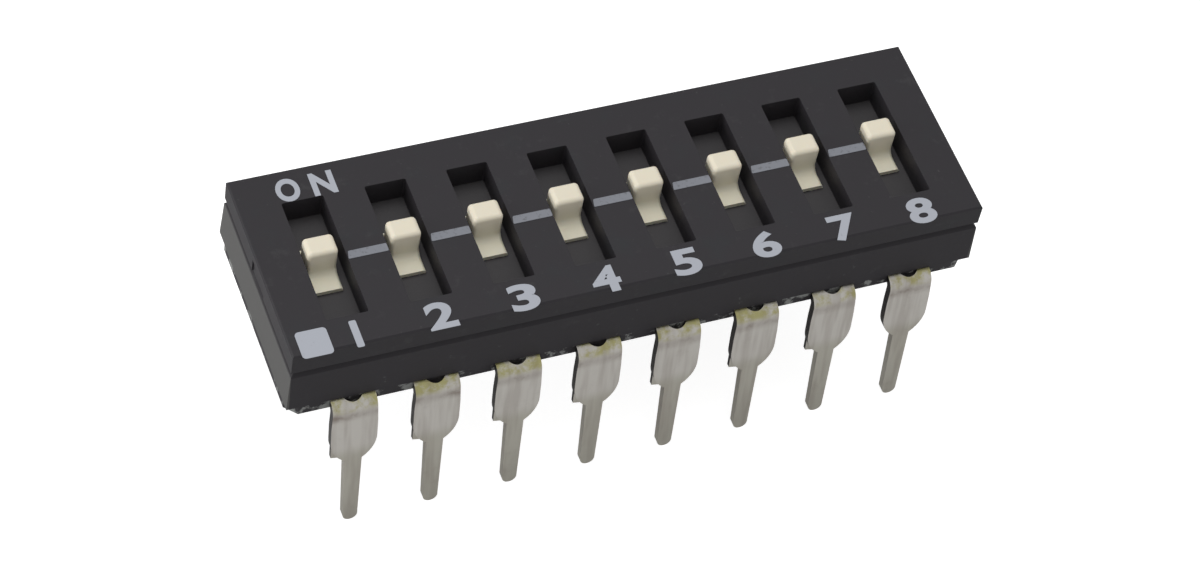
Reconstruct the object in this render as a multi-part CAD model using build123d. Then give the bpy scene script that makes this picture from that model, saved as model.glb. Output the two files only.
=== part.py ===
from build123d import *
from math import atan, degrees, radians, tan
import os

# Eight-pole slide switch in a dual in-line package, with through-hole leads.
#
# Frame, in millimetres: the origin is the middle of the body's underside, +X runs from switch 1
# to switch 8, +Y points to the side marked ON, and +Z is up. The leads reach below the origin.
#
# From the bottom up, the body is a terminal plate moulded round the leads, a base with one open
# cell for each switch, and a cover whose pockets hold the sliders. Each slider stands on its
# pocket's floor, and its stem goes through the floor to a sprung contact in the cell below.

# Row of switches
POLE_COUNT = 8
PITCH = 2.54

# Body
BODY_WIDTH = 6.57
BODY_HEIGHT = 2.85
SIDE_WALL = 0.55
END_WALL = 0.89
PARTITION = 0.40
BASE_FLARE = 0.065
SWITCH_LINE_Y = -0.075

# Terminal plate
PLATE_THICKNESS = 0.40
PLATE_INSET = 0.04
PLATE_CORNER_CUT = 0.35

# Cover
COVER_THICKNESS = 0.86
COVER_TOP_CHAMFER = 0.05
COVER_SEAM_CHAMFER = 0.10
BASE_SEAM_CHAMFER = 0.15
PLUG_CLEARANCE = 0.05
POCKET_WIDTH = 1.28
POCKET_MARGIN = 1.11
POCKET_DEPTH = 0.90
POCKET_FLOOR = 0.25
POCKET_CORNER_RADIUS = 0.06
GATE_RECESS_WIDTH = 1.1
GATE_RECESS_DEPTH = 0.05
GATE_RECESS_TOP = 2.55

# Slider
SLIDER_WIDTH = 0.93
SLIDER_SHIFT_X = -0.05
SLIDER_TRAVEL = 0.63
SLIDER_FLOOR_CLEARANCE = 0.02
HEAD_LENGTH = 0.70
HEAD_RISE = 0.23
HEAD_EDGE_RADIUS = 0.14
HEAD_CORNER_RADIUS = 0.12
FRONT_FOOT_LENGTH = 0.65
REAR_FOOT_LENGTH = 0.25
FOOT_THICKNESS = 0.14
NECK_RADIUS = 0.20
STEM_WIDTH = 0.46
STEM_LENGTH = 0.54
STEM_SIDE_CLEARANCE = 0.06
STEM_END_CLEARANCE = 0.04

# Sprung contact, riveted under the stem
CONTACT_THICKNESS = 0.10
CONTACT_WIDTH = 0.90
CONTACT_HEADROOM = 0.25
CONTACT_FLAT_LENGTH = 0.80
CONTACT_FOOT_REACH = 0.95
CONTACT_TOE_LENGTH = 0.22
CONTACT_TOE_RISE = 0.12
CONTACT_BEND_RADIUS = 0.10
CONTACT_GAP = 0.02
RIVET_RADIUS = 0.14
RIVET_HEAD_RADIUS = 0.24
RIVET_HEAD_THICKNESS = 0.08

# Terminals
LEAD_THICKNESS = 0.25
LEAD_EXIT_HEIGHT = 0.10
LEAD_ROOT_WIDTH = 1.38
LEAD_SHOULDER_WIDTH = 1.43
LEAD_SHANK_WIDTH = 0.54
LEAD_TIP_WIDTH = 0.46
LEAD_BEND_RADIUS = 0.275
LEAD_JOG_RADIUS = 0.15
LEAD_JOG_START = 0.05
LEAD_JOG_LENGTH = 0.34
LEAD_LEAN = 6.5
LEAD_DEPTH = 4.83
LEAD_WIDEST_FROM = 0.55
LEAD_WIDEST_TO = 1.20
LEAD_SEAT_DEPTH = 2.08
LEAD_TIP_LENGTH = 0.22
LEDGE_WIDTH = 0.66
LEDGE_DEPTH = 1.98
LEDGE_SLOPE = 0.14
LOCK_HOLE_RADIUS = 0.33
LOCK_HOLE_SETBACK = 0.12
OPEN_SIDE_PAD_END = 0.95
CLOSED_SIDE_PAD_END = 0.40

# Levels and spans that follow from the sizes above
CELL_WIDTH = PITCH - PARTITION
CELL_LENGTH = BODY_WIDTH - 2 * SIDE_WALL
BODY_LENGTH = (POLE_COUNT - 1) * PITCH + CELL_WIDTH + 2 * END_WALL
SEAM_LEVEL = BODY_HEIGHT - COVER_THICKNESS
POCKET_LENGTH = BODY_WIDTH - 2 * POCKET_MARGIN
POCKET_LEVEL = BODY_HEIGHT - POCKET_DEPTH
PLUG_LEVEL = POCKET_LEVEL - POCKET_FLOOR
CONTACT_LEVEL = PLUG_LEVEL - CONTACT_HEADROOM
PAD_TOP = PLATE_THICKNESS + LEAD_THICKNESS
SLIDER_REST_Y = SWITCH_LINE_Y + SLIDER_TRAVEL / 2
LOCK_HOLE_Y = BODY_WIDTH / 2 - LOCK_HOLE_SETBACK
THROUGH = 3 * BODY_HEIGHT


def switch_positions():
    """Centre of each switch along X, from switch 1 to switch 8."""
    first = -(POLE_COUNT - 1) * PITCH / 2
    return [first + index * PITCH for index in range(POLE_COUNT)]


def block(length, width, bottom, top):
    """Upright box centred on the Z axis, from one level to another."""
    return Pos(0, 0, bottom) * Box(length, width, top - bottom, align=(Align.CENTER, Align.CENTER, Align.MIN))


def repeated(shape):
    """One copy of a shape at each switch."""
    return [Pos(x, 0, 0) * shape for x in switch_positions()]


def make_base():
    """Frame of four outer walls that flare downwards, with a partition between switches."""
    height = SEAM_LEVEL - PLATE_THICKNESS
    footprint = Rectangle(BODY_LENGTH + 2 * BASE_FLARE, BODY_WIDTH + 2 * BASE_FLARE)
    shell = Pos(0, 0, PLATE_THICKNESS) * extrude(footprint, height, taper=degrees(atan(BASE_FLARE / height)))
    shell = chamfer(shell.faces().sort_by(Axis.Z)[-1].edges(), BASE_SEAM_CHAMFER)
    cell = block(CELL_WIDTH, CELL_LENGTH, 0, THROUGH)
    return shell - repeated(cell)


def end_gate_recesses():
    """Shallow recess under the lip at the middle of each end, where the cover was fed."""
    recess = block(2 * GATE_RECESS_DEPTH, GATE_RECESS_WIDTH, SEAM_LEVEL, GATE_RECESS_TOP)
    return [Pos(side * BODY_LENGTH / 2, 0, 0) * recess for side in (-1, 1)]


def make_cover():
    """Plate with a pocket for each slider, and plugs that locate it in the base's cells."""
    plate = block(BODY_LENGTH, BODY_WIDTH, SEAM_LEVEL, BODY_HEIGHT)
    plate = chamfer(plate.faces().sort_by(Axis.Z)[-1].edges(), COVER_TOP_CHAMFER)
    plate = chamfer(plate.faces().sort_by(Axis.Z)[0].edges(), COVER_SEAM_CHAMFER)
    plate -= end_gate_recesses()
    plug_width = CELL_WIDTH - 2 * PLUG_CLEARANCE
    plug_length = CELL_LENGTH - 2 * PLUG_CLEARANCE
    plate += repeated(block(plug_width, plug_length, PLUG_LEVEL, SEAM_LEVEL + POCKET_FLOOR))
    outline = RectangleRounded(POCKET_WIDTH, POCKET_LENGTH, POCKET_CORNER_RADIUS)
    plate -= repeated(Pos(0, SWITCH_LINE_Y, POCKET_LEVEL) * extrude(outline, THROUGH))
    stem_slot_width = STEM_WIDTH + 2 * STEM_SIDE_CLEARANCE
    stem_slot_length = STEM_LENGTH + SLIDER_TRAVEL + 2 * STEM_END_CLEARANCE
    stem_slot = block(stem_slot_width, stem_slot_length, 0, THROUGH)
    plate -= repeated(Pos(SLIDER_SHIFT_X, SWITCH_LINE_Y, 0) * stem_slot)
    return plate


def slider_outline():
    """Side view of a slider above its pocket floor: a head between a long and a short low foot."""
    bottom = POCKET_LEVEL + SLIDER_FLOOR_CLEARANCE
    foot_top = bottom + FOOT_THICKNESS
    head_top = BODY_HEIGHT + HEAD_RISE
    head_edge = HEAD_LENGTH / 2
    neck_top = foot_top + NECK_RADIUS
    halves = []
    for side, foot_length in ((-1, FRONT_FOOT_LENGTH), (1, REAR_FOOT_LENGTH)):
        foot_end = head_edge + foot_length
        halves.append(
            Polyline((0, bottom), (side * foot_end, bottom), (side * foot_end, foot_top))
            + Line((side * foot_end, foot_top), (side * (head_edge + NECK_RADIUS), foot_top))
            + RadiusArc(
                (side * (head_edge + NECK_RADIUS), foot_top),
                (side * head_edge, neck_top),
                side * NECK_RADIUS,
            )
            + Polyline((side * head_edge, neck_top), (side * head_edge, head_top), (0, head_top))
        )
    return make_face(halves[0] + halves[1])


def make_slider():
    """Slider in the middle of its travel, at X = 0, with its stem and the spread rivet under it."""
    body = extrude(Plane.YZ * slider_outline(), SLIDER_WIDTH / 2, both=True)
    head_top = BODY_HEIGHT + HEAD_RISE
    uprights = body.edges().filter_by(Axis.Z).filter_by_position(Axis.Z, BODY_HEIGHT - HEAD_RISE, head_top)
    body = fillet(uprights, HEAD_CORNER_RADIUS)
    body = fillet(body.faces().sort_by(Axis.Z)[-1].edges(), HEAD_EDGE_RADIUS)
    underside = POCKET_LEVEL + SLIDER_FLOOR_CLEARANCE
    body += block(STEM_WIDTH, STEM_LENGTH, CONTACT_LEVEL, underside)
    rivet_end = CONTACT_LEVEL - CONTACT_THICKNESS
    body += Pos(0, 0, rivet_end) * extrude(Circle(RIVET_RADIUS), CONTACT_THICKNESS)
    rivet_head = extrude(Circle(RIVET_HEAD_RADIUS), -RIVET_HEAD_THICKNESS)
    body += Pos(0, 0, rivet_end) * rivet_head
    return body


def strip_face(centre_line, thickness):
    """Side view of a bent strip of even thickness, from its centre line."""
    edge = centre_line.wire().offset_2d(thickness / 2, side=Side.BOTH, closed=True)
    return make_face(edge)


def make_contact():
    """Leaf spring in the middle of its travel: a flat with an arm down to a foot at each end."""
    flat = CONTACT_LEVEL - CONTACT_THICKNESS / 2
    foot = PAD_TOP + CONTACT_GAP + CONTACT_THICKNESS / 2
    flat_end = CONTACT_FLAT_LENGTH / 2
    toe = CONTACT_FOOT_REACH + CONTACT_TOE_LENGTH
    points = [
        (-toe, foot + CONTACT_TOE_RISE),
        (-CONTACT_FOOT_REACH, foot),
        (-flat_end, flat),
        (flat_end, flat),
        (CONTACT_FOOT_REACH, foot),
        (toe, foot + CONTACT_TOE_RISE),
    ]
    centre_line = FilletPolyline(*points, radius=CONTACT_BEND_RADIUS)
    leaf = extrude(Plane.YZ * strip_face(centre_line, CONTACT_THICKNESS), CONTACT_WIDTH / 2, both=True)
    hole = extrude(Circle(RIVET_RADIUS), THROUGH)
    return leaf - hole


def lead_side(pad_end):
    """Side view of a terminal: contact pad, jog down into the plate, way out, bend and leg."""
    exit_level = LEAD_EXIT_HEIGHT + LEAD_THICKNESS / 2
    pad_level = PAD_TOP - LEAD_THICKNESS / 2
    jog_outer = CELL_LENGTH / 2 - LEAD_JOG_START
    jog_inner = jog_outer - LEAD_JOG_LENGTH
    corner = BODY_WIDTH / 2 + LEAD_BEND_RADIUS * tan(radians(90 - LEAD_LEAN) / 2)
    drop = exit_level + LEAD_DEPTH
    points = [
        (pad_end, pad_level),
        (jog_inner, pad_level),
        (jog_outer, exit_level),
        (corner, exit_level),
        (corner + drop * tan(radians(LEAD_LEAN)), -LEAD_DEPTH),
    ]
    centre_line = FilletPolyline(*points, radius=[LEAD_JOG_RADIUS, LEAD_JOG_RADIUS, LEAD_BEND_RADIUS])
    return strip_face(centre_line, LEAD_THICKNESS)


def lead_front():
    """Front view of a terminal: root, wide shoulder, narrow shank and rounded tip."""
    root = LEAD_ROOT_WIDTH / 2
    shoulder = LEAD_SHOULDER_WIDTH / 2
    shank = LEAD_SHANK_WIDTH / 2
    tip = LEAD_TIP_WIDTH / 2
    top = PAD_TOP + LEAD_THICKNESS
    tip_start = LEAD_TIP_LENGTH - LEAD_DEPTH
    edges = []
    for side in (-1, 1):
        widest_end = (side * shoulder, -LEAD_WIDEST_TO)
        seat = (side * shank, -LEAD_SEAT_DEPTH)
        edges.append(
            Polyline(
                (0, top),
                (side * root, top),
                (side * root, 0),
                (side * shoulder, -LEAD_WIDEST_FROM),
                widest_end,
            )
            + TangentArc(widest_end, seat, tangent=(0, -1))
            + Line(seat, (side * tip, tip_start))
        )
    end = ThreePointArc((-tip, tip_start), (0, -LEAD_DEPTH), (tip, tip_start))
    return make_face(edges[0] + edges[1] + end)


def make_terminal(pad_end):
    """Terminal on the +Y side of a switch at X = 0, with its lock hole half inside the body."""
    side_view = extrude(Plane.YZ * lead_side(pad_end), LEAD_SHOULDER_WIDTH, both=True)
    front_view = extrude(Plane.XZ * lead_front(), -THROUGH)
    hole = Pos(0, LOCK_HOLE_Y, 0) * extrude(Circle(LOCK_HOLE_RADIUS), PAD_TOP)
    return (side_view & front_view) - hole


def shoulder_ledge():
    """Ledge left on the inner half of a terminal's -X shoulder where its strip was cut off."""
    side_view = extrude(Plane.YZ * lead_side(OPEN_SIDE_PAD_END), LEAD_SHOULDER_WIDTH, both=True)
    inner_half = side_view & (Pos(0, -LEAD_THICKNESS / 2, 0) * side_view)
    outline = Polyline(
        (0, -LEAD_WIDEST_TO),
        (-LEDGE_WIDTH, -LEAD_WIDEST_TO),
        (-LEDGE_WIDTH, -LEDGE_DEPTH),
        (0, -LEDGE_DEPTH - LEDGE_SLOPE),
        close=True,
    )
    return inner_half & extrude(Plane.XZ * make_face(outline), -THROUGH)


def make_terminal_plate(terminals):
    """Floor of the body, moulded round every terminal, with its corners cut off."""
    length = BODY_LENGTH + 2 * (BASE_FLARE - PLATE_INSET)
    width = BODY_WIDTH + 2 * (BASE_FLARE - PLATE_INSET)
    plate = block(length, width, 0, PLATE_THICKNESS)
    plate = chamfer(plate.edges().filter_by(Axis.Z), PLATE_CORNER_CUT)
    return plate - terminals


def one_solid(shape):
    """The only solid of a shape; a shape that came apart is an error."""
    solids = shape.solids()
    if len(solids) != 1:
        raise ValueError(f"expected one solid, found {len(solids)}")
    return solids[0]


def main():
    os.makedirs("parts", exist_ok=True)
    pieces = {"base": make_base(), "cover": make_cover()}
    slider = make_slider()
    contact = make_contact()
    ledge = shoulder_ledge()
    back_terminal = make_terminal(OPEN_SIDE_PAD_END) + ledge
    last_front_terminal = mirror(make_terminal(CLOSED_SIDE_PAD_END), about=Plane.XZ)
    front_terminal = last_front_terminal + mirror(ledge, about=Plane.XZ)
    for number, x in enumerate(switch_positions(), start=1):
        pieces[f"slider_{number}"] = Pos(x + SLIDER_SHIFT_X, SLIDER_REST_Y, 0) * slider
        pieces[f"contact_{number}"] = Pos(x + SLIDER_SHIFT_X, SLIDER_REST_Y, 0) * contact
        pieces[f"terminal_back_{number}"] = Pos(x, 0, 0) * back_terminal
        pieces[f"terminal_front_{number}"] = Pos(x, 0, 0) * front_terminal
    pieces[f"terminal_front_{POLE_COUNT}"] = Pos(switch_positions()[-1], 0, 0) * last_front_terminal
    terminals = [shape for name, shape in pieces.items() if name.startswith("terminal_")]
    pieces["terminal_plate"] = make_terminal_plate(terminals)
    for name, shape in pieces.items():
        export_step(one_solid(shape), f"parts/{name}.step")


main()
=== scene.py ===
from math import radians

import bpy
from bpy.props import FloatProperty, FloatVectorProperty, IntProperty, PointerProperty
from mathutils import Matrix, Vector


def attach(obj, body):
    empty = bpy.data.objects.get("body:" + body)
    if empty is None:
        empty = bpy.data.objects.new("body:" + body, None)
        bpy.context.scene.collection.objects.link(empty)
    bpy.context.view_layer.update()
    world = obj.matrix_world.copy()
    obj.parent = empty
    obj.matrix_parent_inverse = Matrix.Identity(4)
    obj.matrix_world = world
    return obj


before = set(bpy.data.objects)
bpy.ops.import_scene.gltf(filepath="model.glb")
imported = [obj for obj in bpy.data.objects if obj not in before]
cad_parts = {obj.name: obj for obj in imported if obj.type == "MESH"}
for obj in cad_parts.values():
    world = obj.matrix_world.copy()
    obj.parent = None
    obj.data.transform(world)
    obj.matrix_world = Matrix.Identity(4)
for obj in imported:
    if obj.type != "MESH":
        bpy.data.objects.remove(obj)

# Finishes, printed marks and studio for an eight-pole slide switch. The packed model supplies the
# solid pieces; this add-on gives them their materials and adds the marks printed on the cover.

bl_info = {
    "name": "Dip switch look",
    "version": (1, 0, 0),
    "blender": (4, 5, 0),
    "location": "View3D > Sidebar > Dip switch",
    "description": "Finishes, printed marks and studio for a slide switch bank",
    "category": "Object",
}

MM = 0.001
MERGE_DISTANCE = 0.0001 * MM


def colour(name, description, value):
    """Colour setting in scene-linear values."""
    return FloatVectorProperty(
        name=name, description=description, default=value, size=3, min=0.0, max=1.0, subtype="COLOR"
    )


def length(name, description, millimetres):
    """Length setting, written in millimetres and kept in metres."""
    return FloatProperty(
        name=name, description=description, default=millimetres * MM, unit="LENGTH", precision=6
    )


def factor(name, description, value, top=1.0):
    """Plain number setting."""
    return FloatProperty(name=name, description=description, default=value, min=0.0, max=top)


class DipHousing(bpy.types.PropertyGroup):
    """Black moulded body."""

    plastic: colour("Plastic", "Moulded body", (0.025, 0.0225, 0.0265))
    bloom: colour("Bloom", "Dusty bloom on edges and rubbed spots", (0.060, 0.060, 0.062))
    cool: colour("Cool", "Faint cool cast in patches", (0.022, 0.030, 0.032))
    flash: colour("Flash", "Pale resin flash beside the leads", (0.30, 0.31, 0.30))
    # Painted light: the two ends of the base are painted paler, standing in for the light falling on the
    # end faces.
    end_painted_light: colour("End tint", "Paler skin of the two ends", (0.086, 0.085, 0.083))
    # Painted light: the pocket floors are painted paler than the cover, standing in for the light that
    # reaches them.
    pocket_floor_painted_light: colour("Pocket floor", "Rubbed floor of the pockets", (0.060, 0.057, 0.060))
    roughness: factor("Roughness", "Surface roughness", 0.58)
    shine: factor("Shine", "Strength of reflections", 0.30)
    grain: factor("Grain", "Depth of the fine moulded grain", 0.25)
    floor_fade_from: length("Floor fade start", "Height where the pocket floor's look starts to fade", 0.01)
    floor_fade_to: length("Floor fade end", "Height where the pocket floor's look is gone", 0.06)
    # The painted light on the ends sets in over this distance.
    end_fade: length("End fade", "Distance over which the skin of the ends sets in", 0.04)
    pocket_level: length("Pocket level", "Level of the pocket floors", 1.95)
    end_from: length("End from", "Distance from the middle where the end faces start", 10.82)


class DipSliders(bpy.types.PropertyGroup):
    """Cream sliders."""

    plastic: colour("Plastic", "Moulded slider", (0.78, 0.72, 0.58))
    # Painted light: this colour is paler than the plastic and lightens the low parts of each slider,
    # standing in for the light on the foot.
    shade: colour("Shade", "Deeper tone low on the slider", (0.84, 0.80, 0.64))
    roughness: factor("Roughness", "Surface roughness", 0.38)
    shade_reach: length("Shade reach", "How far the shade rises to the cover's top", 0.9)
    cover_top: length("Cover top", "Level of the cover's top face", 2.85)


class DipLeads(bpy.types.PropertyGroup):
    """Tinned terminals."""

    tin: colour("Tin", "Plated surface", (0.66, 0.635, 0.59))
    shank: colour("Shank", "Duller plating on the narrow shank", (0.54, 0.52, 0.455))
    cut: colour("Cut", "Dark sheared edges", (0.035, 0.032, 0.030))
    stain: colour("Stain", "Yellow flux stain near the body", (0.44, 0.41, 0.12))
    # Painted shade: this dark colour is painted across the bend of each lead in place of the shade on the
    # curved metal; it also colours the real dull spots and drawing streaks.
    shade_and_dull_band: colour("Band", "Darker band across the bend", (0.24, 0.19, 0.16))
    roughness: factor("Roughness", "Surface roughness", 0.36)
    metallic: factor("Metallic", "Share of metal", 0.80)
    shoulder_reach: length("Shoulder reach", "Height over which the shank turns to shoulder", 0.6)
    stain_reach: length("Stain reach", "Height over which the stain sets in", 0.25)
    cut_below: length("Cut below", "Start of the cut sides below the shank's top", 0.15)
    cut_above: length("Cut above", "Full look of the cut sides above the shank's top", 0.1)
    band_strength: factor("Band strength", "Strength of the band across the shoulder", 0.6)
    shank_level: length("Shank level", "Height where the shoulder ends", -2.0)
    stain_level: length("Stain level", "Height above which the stain shows", -0.05)
    band_level: length("Band level", "Height of the darker band", -0.12)
    band_reach: length("Band reach", "Half height of the darker band", 0.30)


class DipContacts(bpy.types.PropertyGroup):
    """Sprung contacts."""

    alloy: colour("Alloy", "Sprung strip", (0.62, 0.45, 0.20))
    roughness: factor("Roughness", "Surface roughness", 0.30)


class DipPrint(bpy.types.PropertyGroup):
    """Marks printed on the cover."""

    ink: colour("Ink", "Printed ink", (0.40, 0.42, 0.47))
    worn_ink: colour("Worn ink", "Rubbed ink of the lines", (0.21, 0.22, 0.25))
    bare: colour("Bare", "Plastic that shows through worn ink", (0.06, 0.06, 0.066))
    roughness: factor("Roughness", "Ink roughness", 0.6)
    wear: factor("Wear", "Share of the ink that is rubbed thin", 0.25)
    count: IntProperty(name="Count", description="Switches in the row", default=8, min=2, max=12)
    pitch: length("Pitch", "Distance between switches", 2.54)
    top: length("Top", "Level of the cover's top face", 2.85)
    thickness: length("Thickness", "Ink thickness", 0.012)
    digit_height: length("Digit height", "Height of the numbers", 0.95)
    digit_width: length("Digit width", "Width of the numbers", 0.88)
    one_width: length("One width", "Width of the plain stroke for 1", 0.22)
    one_corner: length("One corner", "Corner radius of the stroke for 1", 0.05)
    digit_shift: length("Digit shift", "How far the numbers stand right of their slots", 0.05)
    digit_line: length("Digit line", "Middle of the numbers along Y", -2.93)
    on_height: length("ON height", "Height of the word ON", 0.85)
    o_width: length("O width", "Width of the letter O", 0.72)
    o_x: length("O place", "Middle of the letter O along X", -9.20)
    n_width: length("N width", "Width of the letter N", 0.72)
    n_x: length("N place", "Middle of the letter N along X", -8.12)
    on_line: length("ON line", "Middle of the word ON along Y", 2.53)
    square: length("Square", "Side of the filled square", 0.94)
    square_x: length("Square place", "Middle of the square along X", -10.10)
    square_corner: length("Square corner", "Corner radius of the square", 0.12)
    slot_width: length("Slot width", "Width of a slot in the cover", 1.28)
    line_y: length("Line place", "Middle of the lines along Y", -0.185)
    line_width: length("Line width", "Width of the lines", 0.28)
    line_left_gap: length("Left gap", "Bare strip between a slot and the line on its right", 0.07)
    line_right_gap: length("Right gap", "Bare strip between a line and the slot on its right", 0.02)
    line_corner: length("Line corner", "Corner radius of the lines", 0.04)
    line_slant: length("Line slant", "How far a line's near corner leans at its left end", 0.06)
    stroke: length("Stroke", "Extra weight of the letters", 0.032)


class DipStudio(bpy.types.PropertyGroup):
    """Camera, lights and floor."""

    lens: factor("Lens", "Focal length on a 36 mm sensor", 107.454, 500.0)
    eye: FloatVectorProperty(
        name="Eye",
        description="Camera place",
        default=(-0.03302009, -0.05834217, 0.08523203),
        size=3,
        unit="LENGTH",
    )
    target: FloatVectorProperty(
        name="Target",
        description="Point in the middle of the view",
        default=(-0.00113248, -0.00252389, 0.002),
        size=3, unit="LENGTH",
    )
    roll: FloatProperty(name="Roll", description="Camera roll", default=radians(11.986), unit="ROTATION")
    floor_level: length("Floor level", "Level of the lead tips", -4.83)
    floor_size: length("Floor size", "Side of the floor", 600.0)
    floor: colour("Floor", "Floor colour", (0.60, 0.60, 0.60))
    floor_glow: factor("Floor glow", "Brightness that the camera sees in the floor", 0.80, 5.0)
    floor_bounce: factor("Floor bounce", "Light that the floor gives off", 0.05, 5.0)
    sky: factor("Sky", "Strength of the even light", 0.60, 5.0)
    key_power: factor("Key power", "Power of the main light in watts", 0.085, 10.0)
    key_size: length("Key size", "Side of the main light", 90.0)
    side_power: factor("Side power", "Power of the left light in watts", 0.09, 10.0)
    side_size: length("Side size", "Side of the left light", 70.0)


GROUPS = {
    "dip_housing": DipHousing,
    "dip_sliders": DipSliders,
    "dip_leads": DipLeads,
    "dip_contacts": DipContacts,
    "dip_print": DipPrint,
    "dip_studio": DipStudio,
}


# Shader node groups


def new_group(name, inputs, outputs):
    """Empty shader node group with the given sockets; returns the tree and its two end nodes."""
    tree = bpy.data.node_groups.new(name, "ShaderNodeTree")
    for socket, kind, value in inputs:
        item = tree.interface.new_socket(socket, in_out="INPUT", socket_type=kind)
        item.default_value = value
    for socket, kind in outputs:
        tree.interface.new_socket(socket, in_out="OUTPUT", socket_type=kind)
    return tree, tree.nodes.new("NodeGroupInput"), tree.nodes.new("NodeGroupOutput")


def patches_group():
    """Soft irregular patches as a mask, with their size and share set by the user of the group."""
    tree, start, end = new_group(
        "Patches",
        [
            ("Scale", "NodeSocketFloat", 800.0),
            ("Share", "NodeSocketFloat", 0.3),
            ("Softness", "NodeSocketFloat", 0.1),
        ],
        [("Mask", "NodeSocketFloat")],
    )
    place = tree.nodes.new("ShaderNodeTexCoord")
    noise = tree.nodes.new("ShaderNodeTexNoise")
    noise.inputs["Detail"].default_value = 6.0
    noise.inputs["Roughness"].default_value = 0.65
    low = tree.nodes.new("ShaderNodeMath")
    low.operation = "SUBTRACT"
    low.inputs[0].default_value = 0.72
    scaled = tree.nodes.new("ShaderNodeMath")
    scaled.operation = "MULTIPLY"
    scaled.inputs[1].default_value = 0.44
    high = tree.nodes.new("ShaderNodeMath")
    high.operation = "ADD"
    ramp = tree.nodes.new("ShaderNodeMapRange")
    ramp.interpolation_type = "SMOOTHSTEP"
    tree.links.new(place.outputs["Object"], noise.inputs["Vector"])
    tree.links.new(start.outputs["Scale"], noise.inputs["Scale"])
    tree.links.new(start.outputs["Share"], scaled.inputs[0])
    tree.links.new(scaled.outputs[0], low.inputs[1])
    tree.links.new(low.outputs[0], high.inputs[0])
    tree.links.new(start.outputs["Softness"], high.inputs[1])
    tree.links.new(noise.outputs["Fac"], ramp.inputs["Value"])
    tree.links.new(low.outputs[0], ramp.inputs["From Min"])
    tree.links.new(high.outputs[0], ramp.inputs["From Max"])
    tree.links.new(ramp.outputs["Result"], end.inputs["Mask"])
    return tree


def level_group():
    """Mask that rises from 0 to 1 between two values of one object coordinate."""
    tree, start, end = new_group(
        "Level",
        [
            ("Low", "NodeSocketFloat", 0.0),
            ("High", "NodeSocketFloat", 0.001),
            ("Across X", "NodeSocketFloat", 0.0),
        ],
        [("Mask", "NodeSocketFloat")],
    )
    place = tree.nodes.new("ShaderNodeTexCoord")
    split = tree.nodes.new("ShaderNodeSeparateXYZ")
    choose = tree.nodes.new("ShaderNodeMix")
    width = tree.nodes.new("ShaderNodeMath")
    width.operation = "ABSOLUTE"
    ramp = tree.nodes.new("ShaderNodeMapRange")
    ramp.interpolation_type = "SMOOTHSTEP"
    tree.links.new(place.outputs["Object"], split.inputs[0])
    tree.links.new(split.outputs["X"], width.inputs[0])
    tree.links.new(start.outputs["Across X"], choose.inputs["Factor"])
    tree.links.new(split.outputs["Z"], choose.inputs["A"])
    tree.links.new(width.outputs[0], choose.inputs["B"])
    tree.links.new(choose.outputs["Result"], ramp.inputs["Value"])
    tree.links.new(start.outputs["Low"], ramp.inputs["From Min"])
    tree.links.new(start.outputs["High"], ramp.inputs["From Max"])
    tree.links.new(ramp.outputs["Result"], end.inputs["Mask"])
    return tree


def shared_group(name, maker):
    """The named group, made the first time it is asked for."""
    return bpy.data.node_groups.get(name) or maker()


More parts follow.
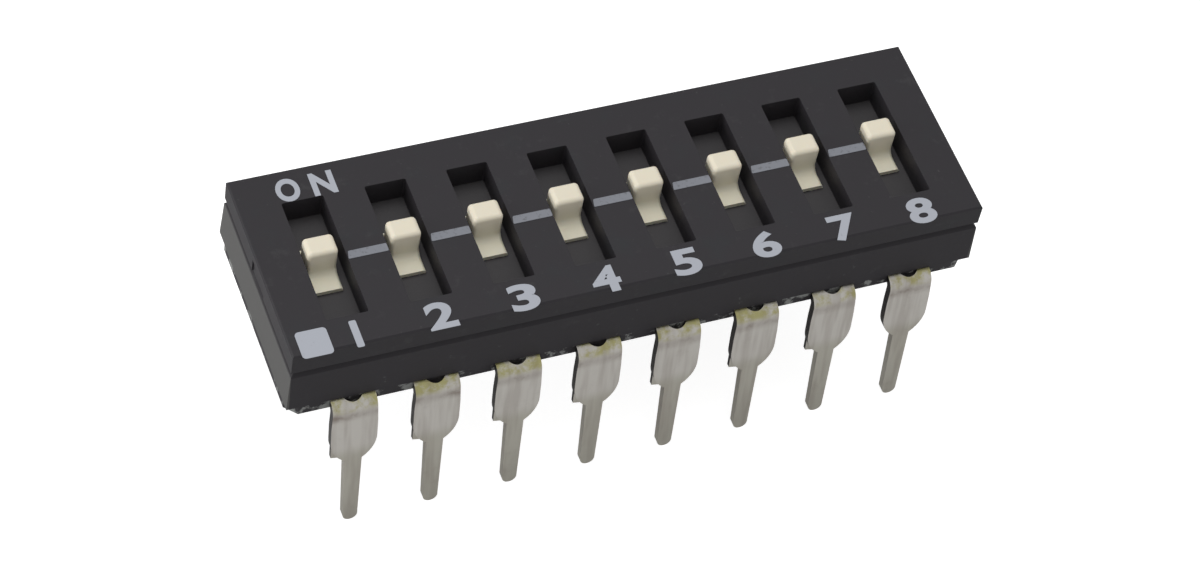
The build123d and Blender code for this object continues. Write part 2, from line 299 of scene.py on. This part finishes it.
class Finish:
    """One procedural material being put together."""

    def __init__(self, name):
        self.material = bpy.data.materials.new(name)
        self.material.use_nodes = True
        self.nodes = self.material.node_tree.nodes
        self.links = self.material.node_tree.links
        self.shader = self.nodes["Principled BSDF"]

    def patches(self, scale, share, softness):
        """Mask of soft irregular patches."""
        node = self.nodes.new("ShaderNodeGroup")
        node.node_tree = shared_group("Patches", patches_group)
        node.inputs["Scale"].default_value = scale
        node.inputs["Share"].default_value = share
        node.inputs["Softness"].default_value = softness
        return node.outputs["Mask"]

    def spots(self, scale, share, softness, strength):
        """Mask of patches, weakened to a set strength."""
        return self.math("MULTIPLY", self.patches(scale, share, softness), strength)

    def level(self, low, high, across_x=0.0):
        """Mask that rises between two levels along Z, or two distances along X where across_x is 1."""
        node = self.nodes.new("ShaderNodeGroup")
        node.node_tree = shared_group("Level", level_group)
        node.inputs["Low"].default_value = low
        node.inputs["High"].default_value = high
        node.inputs["Across X"].default_value = across_x
        return node.outputs["Mask"]

    def streaks(self, across, along):
        """Mask of fine upright streaks, from noise squeezed along X."""
        place = self.nodes.new("ShaderNodeTexCoord")
        stretch = self.nodes.new("ShaderNodeMapping")
        stretch.inputs["Scale"].default_value = (across, along, along)
        noise = self.nodes.new("ShaderNodeTexNoise")
        noise.inputs["Scale"].default_value = 1.0
        ramp = self.nodes.new("ShaderNodeMapRange")
        ramp.inputs["From Min"].default_value = 0.42
        ramp.inputs["From Max"].default_value = 0.66
        self.links.new(place.outputs["Object"], stretch.inputs["Vector"])
        self.links.new(stretch.outputs["Vector"], noise.inputs["Vector"])
        self.links.new(noise.outputs["Fac"], ramp.inputs["Value"])
        return ramp.outputs["Result"]

    def facing_side(self):
        """Mask of the faces turned along X."""
        place = self.nodes.new("ShaderNodeTexCoord")
        split = self.nodes.new("ShaderNodeSeparateXYZ")
        ramp = self.nodes.new("ShaderNodeMapRange")
        ramp.inputs["From Min"].default_value = 0.55
        ramp.inputs["From Max"].default_value = 0.95
        self.links.new(place.outputs["Normal"], split.inputs[0])
        self.links.new(self.math("ABSOLUTE", split.outputs["X"], 0.0), ramp.inputs["Value"])
        return ramp.outputs["Result"]

    def math(self, operation, first, second):
        """One Math node on two values, each a number or a socket."""
        node = self.nodes.new("ShaderNodeMath")
        node.operation = operation
        for socket, value in zip(node.inputs, (first, second)):
            if isinstance(value, (int, float)):
                socket.default_value = value
            else:
                self.links.new(value, socket)
        return node.outputs[0]

    def mix(self, mask, first, second):
        """Colour between two others, each a colour or a socket, by a mask."""
        node = self.nodes.new("ShaderNodeMix")
        node.data_type = "RGBA"
        colours = [socket for socket in node.inputs if socket.type == "RGBA"]
        for socket, value in zip(colours, (first, second)):
            if hasattr(value, "is_output"):
                self.links.new(value, socket)
            else:
                socket.default_value = (*value, 1.0)
        self.links.new(mask, node.inputs["Factor"])
        return next(socket for socket in node.outputs if socket.type == "RGBA")

    def grain(self, scale, strength, distance):
        """Fine bumps over the whole surface."""
        noise = self.nodes.new("ShaderNodeTexNoise")
        noise.inputs["Scale"].default_value = scale
        noise.inputs["Detail"].default_value = 4.0
        place = self.nodes.new("ShaderNodeTexCoord")
        bump = self.nodes.new("ShaderNodeBump")
        bump.inputs["Strength"].default_value = strength
        bump.inputs["Distance"].default_value = distance
        self.links.new(place.outputs["Object"], noise.inputs["Vector"])
        self.links.new(noise.outputs["Fac"], bump.inputs["Height"])
        self.links.new(bump.outputs["Normal"], self.shader.inputs["Normal"])

    def paint(self, colour_socket, roughness, metallic=0.0):
        """Sets colour, roughness and metal, and gives back the material."""
        if hasattr(colour_socket, "is_output"):
            self.links.new(colour_socket, self.shader.inputs["Base Color"])
        else:
            self.shader.inputs["Base Color"].default_value = (*colour_socket, 1.0)
        self.shader.inputs["Roughness"].default_value = roughness
        self.shader.inputs["Metallic"].default_value = metallic
        return self.material


def wear(node, material):
    """Gives one packed node its material."""
    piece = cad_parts[node]
    piece.data.materials.clear()
    piece.data.materials.append(material)


def nodes_named(start):
    """Packed nodes whose names start with these letters."""
    return [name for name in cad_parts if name.startswith(start)]


# Pieces


class DIP_OT_housing(bpy.types.Operator):
    """Finish of the base, cover and terminal plate"""

    bl_idname = "dip.housing"
    bl_label = "Housing"

    def execute(self, context):
        look = context.scene.dip_housing
        finish = Finish("Housing plastic")
        rubbed = finish.spots(scale=1900.0, share=0.35, softness=0.22, strength=0.35)
        skin = finish.mix(rubbed, look.plastic, look.bloom)
        specks = finish.spots(scale=5200.0, share=0.12, softness=0.03, strength=0.5)
        skin = finish.mix(specks, skin, look.bloom)
        cool = finish.spots(scale=700.0, share=0.55, softness=0.3, strength=0.35)
        skin = finish.mix(cool, skin, look.cool)
        # Painted light: the cover below this fade, the pocket floors, gets a paler colour in place of the
        # light on them.
        fade_from = look.pocket_level + look.floor_fade_from
        fade_to = look.pocket_level + look.floor_fade_to
        above_floor = finish.level(fade_from, fade_to)
        skin = finish.mix(above_floor, look.pocket_floor_painted_light, skin)
        wear("cover", finish.paint(skin, look.roughness))
        finish.shader.inputs["Specular IOR Level"].default_value = look.shine
        finish.grain(scale=9000.0, strength=look.grain, distance=0.01 * MM)

        base = Finish("Base plastic")
        rubbed = base.spots(scale=1500.0, share=0.35, softness=0.22, strength=0.35)
        skin = base.mix(rubbed, look.plastic, look.bloom)
        scuffs = base.spots(scale=2600.0, share=0.10, softness=0.03, strength=0.8)
        skin = base.mix(scuffs, skin, look.bloom)
        # Painted light: the end faces of the base get a paler colour in place of the light that falls on
        # them.
        ends = base.level(look.end_from, look.end_from + look.end_fade, across_x=1.0)
        skin = base.mix(ends, skin, look.end_painted_light)
        wear("base", base.paint(skin, look.roughness))
        base.shader.inputs["Specular IOR Level"].default_value = look.shine
        base.grain(scale=9000.0, strength=look.grain, distance=0.01 * MM)

        plate = Finish("Terminal plate plastic")
        flash = plate.spots(scale=1500.0, share=0.50, softness=0.08, strength=0.8)
        skin = plate.mix(flash, look.plastic, look.flash)
        wear("terminal_plate", plate.paint(skin, look.roughness))
        plate.shader.inputs["Specular IOR Level"].default_value = look.shine
        plate.grain(scale=6000.0, strength=look.grain, distance=0.02 * MM)
        return {"FINISHED"}


class DIP_OT_sliders(bpy.types.Operator):
    """Finish of the eight sliders"""

    bl_idname = "dip.sliders"
    bl_label = "Sliders"

    def execute(self, context):
        look = context.scene.dip_sliders
        finish = Finish("Slider plastic")
        # Painted light: below the cover's top the slider turns to the paler colour, standing in for the
        # light on its foot.
        high = finish.level(look.cover_top - look.shade_reach, look.cover_top)
        skin = finish.mix(high, look.shade, look.plastic)
        material = finish.paint(skin, look.roughness)
        finish.shader.inputs["Subsurface Weight"].default_value = 0.15
        finish.shader.inputs["Subsurface Radius"].default_value = (0.4 * MM, 0.3 * MM, 0.2 * MM)
        finish.grain(scale=5000.0, strength=0.1, distance=0.01 * MM)
        for name in nodes_named("slider_"):
            wear(name, material)
        return {"FINISHED"}


class DIP_OT_terminals(bpy.types.Operator):
    """Finish of the sixteen terminals"""

    bl_idname = "dip.terminals"
    bl_label = "Terminals"

    def execute(self, context):
        look = context.scene.dip_leads
        finish = Finish("Tinned lead")
        # Painted shade: a darker stripe across the bend, standing in for the shade on the curved metal.
        above = finish.level(look.band_level - look.band_reach, look.band_level)
        below = finish.level(look.band_level, look.band_level + look.band_reach)
        shade_and_dull_band = finish.math("MULTIPLY", finish.math("SUBTRACT", above, below), look.band_strength)
        uneven = finish.math("ADD", finish.patches(scale=1500.0, share=0.6, softness=0.3), 0.45)
        shade_and_dull_band = finish.math("MULTIPLY", shade_and_dull_band, uneven)
        shoulder = finish.level(look.shank_level, look.shank_level + look.shoulder_reach)
        skin = finish.mix(shoulder, look.shank, look.tin)
        skin = finish.mix(shade_and_dull_band, skin, look.shade_and_dull_band)
        near_body = finish.level(look.stain_level, look.stain_level + look.stain_reach)
        stain = finish.math("MULTIPLY", finish.patches(scale=1900.0, share=0.75, softness=0.2), near_body)
        skin = finish.mix(finish.math("MULTIPLY", stain, 0.8), skin, look.stain)
        # Real dull spots and drawing streaks use the same dark colour as the painted shade.
        dull = finish.spots(scale=1100.0, share=0.4, softness=0.3, strength=0.3)
        skin = finish.mix(dull, skin, look.shade_and_dull_band)
        drawn = finish.math("MULTIPLY", finish.streaks(across=4200.0, along=420.0), 0.26)
        skin = finish.mix(drawn, skin, look.shade_and_dull_band)
        sheared = finish.level(look.shank_level - look.cut_below, look.shank_level + look.cut_above)
        sheared = finish.math("MULTIPLY", finish.facing_side(), sheared)
        skin = finish.mix(sheared, skin, look.cut)
        material = finish.paint(skin, look.roughness, look.metallic)
        finish.grain(scale=2600.0, strength=0.12, distance=0.02 * MM)
        for name in nodes_named("terminal_front_") + nodes_named("terminal_back_"):
            wear(name, material)
        return {"FINISHED"}


class DIP_OT_contacts(bpy.types.Operator):
    """Finish of the sprung contacts"""

    bl_idname = "dip.contacts"
    bl_label = "Contacts"

    def execute(self, context):
        look = context.scene.dip_contacts
        finish = Finish("Sprung alloy")
        material = finish.paint(look.alloy, look.roughness, 1.0)
        for name in nodes_named("contact_"):
            wear(name, material)
        return {"FINISHED"}


def begin():
    """Nothing selected, in object mode."""
    if bpy.context.object and bpy.context.object.mode != "OBJECT":
        bpy.ops.object.mode_set(mode="OBJECT")
    bpy.ops.object.select_all(action="DESELECT")


def settle(piece, name, material):
    """Finished printed piece: place baked into its mesh, on the housing, with its material."""
    begin()
    piece.select_set(True)
    bpy.context.view_layer.objects.active = piece
    bpy.ops.object.transform_apply(location=True, rotation=True, scale=True)
    piece.name = name
    piece.data.materials.clear()
    piece.data.materials.append(material)
    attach(piece, "housing")


def printed_text(text, width, height, middle, look, name, material):
    """Bold printed text of a set width and height, as a thin closed mesh."""
    begin()
    bpy.ops.object.text_add(location=(0, 0, 0))
    piece = bpy.context.object
    piece.data.body = text
    piece.data.size = height
    piece.data.offset = look.stroke
    piece.data.extrude = look.thickness / 2
    piece.data.resolution_u = 6
    bpy.ops.object.convert(target="MESH")
    piece = bpy.context.object
    bpy.ops.object.mode_set(mode="EDIT")
    bpy.ops.mesh.select_all(action="SELECT")
    bpy.ops.mesh.remove_doubles(threshold=MERGE_DISTANCE)
    bpy.ops.mesh.normals_make_consistent(inside=False)
    bpy.ops.mesh.faces_shade_flat()
    bpy.ops.object.mode_set(mode="OBJECT")
    corners = [Vector(corner) for corner in piece.bound_box]
    low = Vector([min(corner[axis] for corner in corners) for axis in range(3)])
    high = Vector([max(corner[axis] for corner in corners) for axis in range(3)])
    size = high - low
    stretch = Vector((width / size.x, height / size.y, 1.0))
    centre = (low + high) / 2
    piece.scale = stretch
    piece.location = (
        middle[0] - centre.x * stretch.x,
        middle[1] - centre.y * stretch.y,
        look.top + look.thickness / 2 - centre.z,
    )
    settle(piece, name, material)


def printed_patch(size, middle, slant, corner_radius, look, name, material):
    """Flat printed patch with rounded corners, as a thin closed mesh; slant moves its near left corner."""
    begin()
    bpy.ops.mesh.primitive_plane_add(size=1.0, location=(0, 0, 0))
    piece = bpy.context.object
    bpy.ops.object.mode_set(mode="EDIT")
    bpy.ops.mesh.select_mode(type="VERT")
    bpy.ops.mesh.select_all(action="SELECT")
    bpy.ops.transform.resize(value=(*size, 1.0), center_override=(0, 0, 0))
    bpy.ops.mesh.select_all(action="DESELECT")
    bpy.ops.object.mode_set(mode="OBJECT")
    for vertex in piece.data.vertices:
        vertex.select = vertex.co.x < 0 and vertex.co.y < 0
    bpy.ops.object.mode_set(mode="EDIT")
    bpy.ops.transform.translate(value=(-slant, 0, 0))
    bpy.ops.mesh.select_all(action="SELECT")
    bpy.ops.mesh.bevel(offset=corner_radius, segments=4, affect="VERTICES")
    bpy.ops.mesh.select_all(action="SELECT")
    bpy.ops.mesh.extrude_region_move(TRANSFORM_OT_translate={"value": (0, 0, look.thickness)})
    bpy.ops.mesh.select_all(action="SELECT")
    bpy.ops.mesh.normals_make_consistent(inside=False)
    bpy.ops.object.mode_set(mode="OBJECT")
    piece.location = (*middle, look.top)
    settle(piece, name, material)


class DIP_OT_marks(bpy.types.Operator):
    """Numbers, the word ON, the square and the lines between slots"""

    bl_idname = "dip.marks"
    bl_label = "Printed marks"

    def execute(self, context):
        look = context.scene.dip_print
        finish = Finish("Printed ink")
        thin = finish.spots(scale=4200.0, share=look.wear, softness=0.18, strength=0.55)
        material = finish.paint(finish.mix(thin, look.ink, look.bare), look.roughness)
        rubbed = Finish("Rubbed ink")
        thin = rubbed.spots(scale=7000.0, share=0.45, softness=0.2, strength=0.6)
        line_material = rubbed.paint(rubbed.mix(thin, look.worn_ink, look.bare), look.roughness)
        first = -(look.count - 1) * look.pitch / 2
        for index in range(look.count):
            middle = (first + index * look.pitch + look.digit_shift, look.digit_line)
            if index == 0:
                size = (look.one_width, look.digit_height)
                printed_patch(size, middle, 0.0, look.one_corner, look, "mark_1", material)
            else:
                number = str(index + 1)
                name = f"mark_{number}"
                printed_text(number, look.digit_width, look.digit_height, middle, look, name, material)
        printed_text("O", look.o_width, look.on_height, (look.o_x, look.on_line), look, "mark_o", material)
        printed_text("N", look.n_width, look.on_height, (look.n_x, look.on_line), look, "mark_n", material)
        size = (look.square, look.square)
        middle = (look.square_x, look.digit_line)
        printed_patch(size, middle, 0.0, look.square_corner, look, "mark_square", material)
        for index in range(look.count - 1):
            left = first + index * look.pitch + look.slot_width / 2 + look.line_left_gap
            right = first + (index + 1) * look.pitch - look.slot_width / 2 - look.line_right_gap
            size = (right - left, look.line_width)
            middle = ((left + right) / 2, look.line_y)
            printed_patch(
                size, middle, look.line_slant, look.line_corner, look, f"line_{index + 1}", line_material
            )
        return {"FINISHED"}


# Studio


def area_light(name, power, size, place, target):
    """Square soft light that faces a point."""
    data = bpy.data.lights.new(name, "AREA")
    data.energy = power
    data.shape = "SQUARE"
    data.size = size
    lamp = bpy.data.objects.new(name, data)
    bpy.context.collection.objects.link(lamp)
    lamp.location = place
    lamp.rotation_euler = (Vector(target) - Vector(place)).to_track_quat("-Z", "Y").to_euler()
    return lamp


class DIP_OT_stage(bpy.types.Operator):
    """Camera, floor, lights and background"""

    bl_idname = "dip.stage"
    bl_label = "Studio"

    def execute(self, context):
        look = context.scene.dip_studio
        scene = context.scene
        data = bpy.data.cameras.new("Camera")
        data.lens = look.lens
        data.sensor_width = 36.0
        data.clip_start = 0.01
        data.clip_end = 10.0
        camera = bpy.data.objects.new("Camera", data)
        context.collection.objects.link(camera)
        eye = Vector(look.eye)
        turn = (Vector(look.target) - eye).to_track_quat("-Z", "Y").to_matrix().to_4x4()
        camera.matrix_world = Matrix.Translation(eye) @ turn @ Matrix.Rotation(look.roll, 4, "Z")
        scene.camera = camera

        begin()
        bpy.ops.mesh.primitive_plane_add(size=look.floor_size, location=(0, 0, look.floor_level))
        floor = context.object
        floor.name = "floor"
        finish = Finish("Pale floor")
        floor.data.materials.append(finish.paint(look.floor, 0.9))
        finish.shader.inputs["Emission Color"].default_value = (1.0, 1.0, 1.0, 1.0)
        paths = finish.nodes.new("ShaderNodeLightPath")
        glow = finish.nodes.new("ShaderNodeMapRange")
        glow.inputs["To Min"].default_value = look.floor_bounce
        glow.inputs["To Max"].default_value = look.floor_glow
        finish.links.new(paths.outputs["Is Camera Ray"], glow.inputs["Value"])
        finish.links.new(glow.outputs["Result"], finish.shader.inputs["Emission Strength"])
        bpy.ops.object.transform_apply(location=True, rotation=True, scale=True)

        centre = (0, 0, 0)
        key = area_light("Key", look.key_power, look.key_size, place=(-0.02, 0.03, 0.16), target=centre)
        side = area_light("Side", look.side_power, look.side_size, place=(-0.15, 0.03, 0.03), target=centre)

        world = bpy.data.worlds.new("Studio")
        world.use_nodes = True
        scene.world = world
        nodes = world.node_tree.nodes
        links = world.node_tree.links
        nodes.clear()
        paths = nodes.new("ShaderNodeLightPath")
        seen = nodes.new("ShaderNodeMath")
        seen.operation = "MAXIMUM"
        strength = nodes.new("ShaderNodeMapRange")
        strength.inputs["To Min"].default_value = look.sky
        strength.inputs["To Max"].default_value = 1.0
        light = nodes.new("ShaderNodeBackground")
        light.inputs["Color"].default_value = (1.0, 1.0, 1.0, 1.0)
        end = nodes.new("ShaderNodeOutputWorld")
        links.new(paths.outputs["Is Camera Ray"], seen.inputs[0])
        links.new(paths.outputs["Is Transmission Ray"], seen.inputs[1])
        links.new(seen.outputs[0], strength.inputs["Value"])
        links.new(strength.outputs["Result"], light.inputs["Strength"])
        links.new(light.outputs["Background"], end.inputs["Surface"])
        scene.view_settings.view_transform = "Standard"
        return {"FINISHED"}


class DIP_PT_panel(bpy.types.Panel):
    """Settings and steps, in the order they run"""

    bl_idname = "DIP_PT_panel"
    bl_label = "Dip switch"
    bl_space_type = "VIEW_3D"
    bl_region_type = "UI"
    bl_category = "Dip switch"

    def draw(self, context):
        for step in STEPS:
            self.layout.operator(step.bl_idname)
        for name, group in GROUPS.items():
            box = self.layout.box()
            box.label(text=group.__doc__)
            for setting in group.__annotations__:
                box.prop(getattr(context.scene, name), setting)


STEPS = (DIP_OT_housing, DIP_OT_sliders, DIP_OT_terminals, DIP_OT_contacts, DIP_OT_marks, DIP_OT_stage)
CLASSES = (*GROUPS.values(), *STEPS, DIP_PT_panel)


def register():
    """Adds the settings, steps and panel."""
    for item in CLASSES:
        bpy.utils.register_class(item)
    for name, group in GROUPS.items():
        setattr(bpy.types.Scene, name, PointerProperty(type=group))


def unregister():
    """Takes them away again."""
    for name in GROUPS:
        delattr(bpy.types.Scene, name)
    for item in reversed(CLASSES):
        bpy.utils.unregister_class(item)


def main():
    """Registers the add-on and runs every step."""
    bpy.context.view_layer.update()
    register()
    bpy.ops.dip.housing()
    bpy.ops.dip.sliders()
    bpy.ops.dip.terminals()
    bpy.ops.dip.contacts()
    bpy.ops.dip.marks()
    bpy.ops.dip.stage()


if __name__ == "__main__":
    main()
